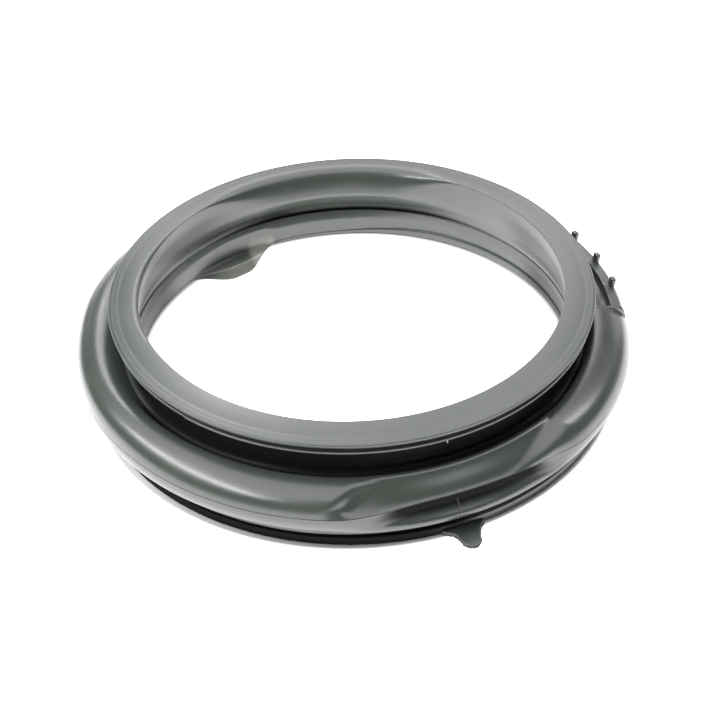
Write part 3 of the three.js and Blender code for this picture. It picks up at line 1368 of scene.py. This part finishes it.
@dataclass(frozen=True)
class GlowingFloor:
    """White studio floor that glows as painted light, except in a ring under the seal."""

    name: str = "glowing_floor"
    colour: tuple[float, float, float, float] = (0.92, 0.92, 0.915, 1)
    roughness: float = 0.9
    specular: float = 0.1
    # Painted light: the floor glows though it is no lamp, and lights the seal from below
    glow: float = 1.75
    unlit: tuple[float, float, float, float] = (0, 0, 0, 1)
    # Glowing disc inside the opening, a pool of painted light set a little towards the far side
    pool_centre: tuple[float, float, float] = (0, 0.0245, 0)
    pool_edge: tuple[float, float] = (0.15, 0.158)
    outer_edge: tuple[float, float] = (0.186, 0.19)

    def material(self) -> bpy.types.Material:
        """Build the material.

        Returns:
            The finished material, which glows except under the seal.
        """
        shader = Shader(self.name)
        where = shader.node("ShaderNodeTexCoord", {}, {}, "Object")
        away = shader.node("ShaderNodeVectorMath", {"operation": "LENGTH"}, {0: where}, 1)
        middle = shader.node(
            "ShaderNodeVectorMath", {"operation": "DISTANCE"}, {0: where, 1: self.pool_centre}, 1)
        # Glow inside the opening and outside the base rim; the ring under the seal between them does
        # not glow and stays darker
        inside = 1 - middle.above(self.pool_edge[0], self.pool_edge[1] - self.pool_edge[0])
        outside = away.above(self.outer_edge[0], self.outer_edge[1] - self.outer_edge[0])
        lit = shader.node(
            "ShaderNodeMix", {"data_type": "RGBA"},
            {"Factor": inside + outside, MIX_A: self.unlit, MIX_B: self.colour}, MIX_RESULT)
        surface = shader.node(
            "ShaderNodeBsdfPrincipled", {},
            {
                "Base Color": self.colour,
                "Roughness": self.roughness,
                "Specular IOR Level": self.specular,
                "Emission Color": lit,
                "Emission Strength": self.glow,
            })
        return shader.close(surface)


def finish_mesh(bm: bmesh.types.BMesh, name: str, material: bpy.types.Material) -> bpy.types.Object:
    """Make a mesh into a smooth piece of the seal.

    Args:
        bm: The mesh, in metres. It is freed.
        name: The piece's name.
        material: What it is made of.

    Returns:
        The piece, which rides on the seal's body and stands for its solid.
    """
    mesh = bpy.data.meshes.new(name)
    for face in bm.faces:
        face.smooth = True
    bm.to_mesh(mesh)
    bm.free()
    mesh.materials.append(material)
    piece = bpy.data.objects.new(name, mesh)
    bpy.context.scene.collection.objects.link(piece)
    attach(piece, BODY)
    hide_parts(NODE)
    return piece


@dataclass
class Camera:
    """Camera at the photograph's viewing angle."""

    lens: float = 110.0
    sensor: float = 36.0
    nearest: float = 0.05
    furthest: float = 50.0
    target: tuple[float, float, float] = (4.3, -35.9, 40.0)
    distance: float = 1547.8
    elevation: float = 37.8
    roll: float = -2.0

    def build(self) -> bpy.types.Object:
        """Make it the scene's camera.

        Returns:
            The camera.
        """
        tilt = math.radians(self.elevation)
        roll = math.radians(self.roll)
        back = Vector((0, -math.cos(tilt), math.sin(tilt)))
        right = Vector((1, 0, 0))
        up = back.cross(right)
        across = math.cos(roll) * right + math.sin(roll) * up
        upright = -math.sin(roll) * right + math.cos(roll) * up
        data = bpy.data.cameras.new("camera")
        data.lens = self.lens
        data.sensor_width = self.sensor
        data.clip_start = self.nearest
        data.clip_end = self.furthest
        camera = bpy.data.objects.new("camera", data)
        at = (Vector(self.target) + self.distance * back) * MM
        turn = Matrix((across, upright, back)).transposed()
        camera.matrix_world = Matrix.Translation(at) @ turn.to_4x4()
        bpy.context.scene.collection.objects.link(camera)
        bpy.context.scene.camera = camera
        return camera


@dataclass(frozen=True)
class Softbox:
    """A rectangular studio light that faces the seal."""

    name: str
    azimuth: float
    elevation: float
    distance: float
    size: tuple[float, float]
    power: float
    roll: float = 0.0

    def build(self, aim: Vector) -> None:
        """Hang the light.

        Args:
            aim: Point that it faces.
        """
        data = bpy.data.lights.new(self.name, "AREA")
        data.shape = "RECTANGLE"
        data.size, data.size_y = self.size
        data.energy = self.power
        light = bpy.data.objects.new(self.name, data)
        turn = math.radians(self.azimuth)
        tilt = math.radians(self.elevation)
        way = Vector((
            math.cos(turn) * math.cos(tilt), math.sin(turn) * math.cos(tilt), math.sin(tilt)))
        light.location = aim + way * self.distance
        facing = way.to_track_quat("Z", "Y").to_matrix().to_4x4()
        spin = Matrix.Rotation(math.radians(self.roll), 4, "Z")
        light.rotation_euler = (facing @ spin).to_euler()
        light.visible_camera = False
        bpy.context.scene.collection.objects.link(light)


@dataclass
class Studio:
    """The floor, which glows as painted light, and the soft lights round it."""

    floor_side: float = 12.0
    sky: tuple[float, float, float, float] = (0.9, 0.93, 0.95, 1)
    sky_strength: float = 0.03
    aim: tuple[float, float, float] = (0, 0, 0.04)
    softboxes: tuple[Softbox, ...] = (
        Softbox("overhead", 90, 86, 1.8, (3.0, 2.4), 54),
        Softbox("rear", 88, 34, 2.2, (1.6, 1.4), 20),
        Softbox("left", 196, 47, 1.5, (1.5, 0.1), 18, -2),
        Softbox("right", 22, 42, 1.5, (0.16, 0.5), 3.6),
        Softbox("right_low", 54, 12, 2.0, (0.8, 0.5), 2.6),
        Softbox("left_low", 117, 10, 2.0, (0.6, 0.5), 2.2),
        Softbox("left_rear", 107, 48, 1.5, (0.2, 0.22), 2.7),
    )

    def build(self) -> None:
        """Set up the floor, the sky and the lights."""
        bm = bmesh.new()
        bmesh.ops.create_grid(bm, x_segments=1, y_segments=1, size=self.floor_side / 2)
        mesh = bpy.data.meshes.new("floor")
        bm.to_mesh(mesh)
        bm.free()
        mesh.materials.append(GlowingFloor().material())
        floor = bpy.data.objects.new("floor", mesh)
        bpy.context.scene.collection.objects.link(floor)
        world = bpy.data.worlds.new("studio")
        world.use_nodes = True
        background = world.node_tree.nodes["Background"]
        background.inputs["Color"].default_value = self.sky
        background.inputs["Strength"].default_value = self.sky_strength
        bpy.context.scene.world = world
        bpy.context.scene.view_settings.view_transform = "Standard"
        aim = Vector(self.aim)
        for softbox in self.softboxes:
            softbox.build(aim)


def report(piece: bpy.types.Object) -> None:
    """Log a piece's name and how many triangles it has.

    Args:
        piece: The finished piece.
    """
    triangles = sum(len(face.vertices) - 2 for face in piece.data.polygons)
    log.info("%s: %d triangles", piece.name, triangles)


def main() -> None:
    """Build the camera, the studio and the seal, in this order."""
    logging.basicConfig(level=logging.INFO, format="%(name)s %(message)s")
    Camera().build()
    Studio().build()
    rubber = SealRubber().material()
    report(finish_mesh(SealBody().build(), "seal_body", rubber))
    report(finish_mesh(CrownLugs().build(), "crown_lugs", rubber))
    report(finish_mesh(PullTab().build(), "pull_tab", rubber))
    report(finish_mesh(MouldSpurs().build(), "mould_spurs", rubber))


if __name__ == "__main__":
    main()
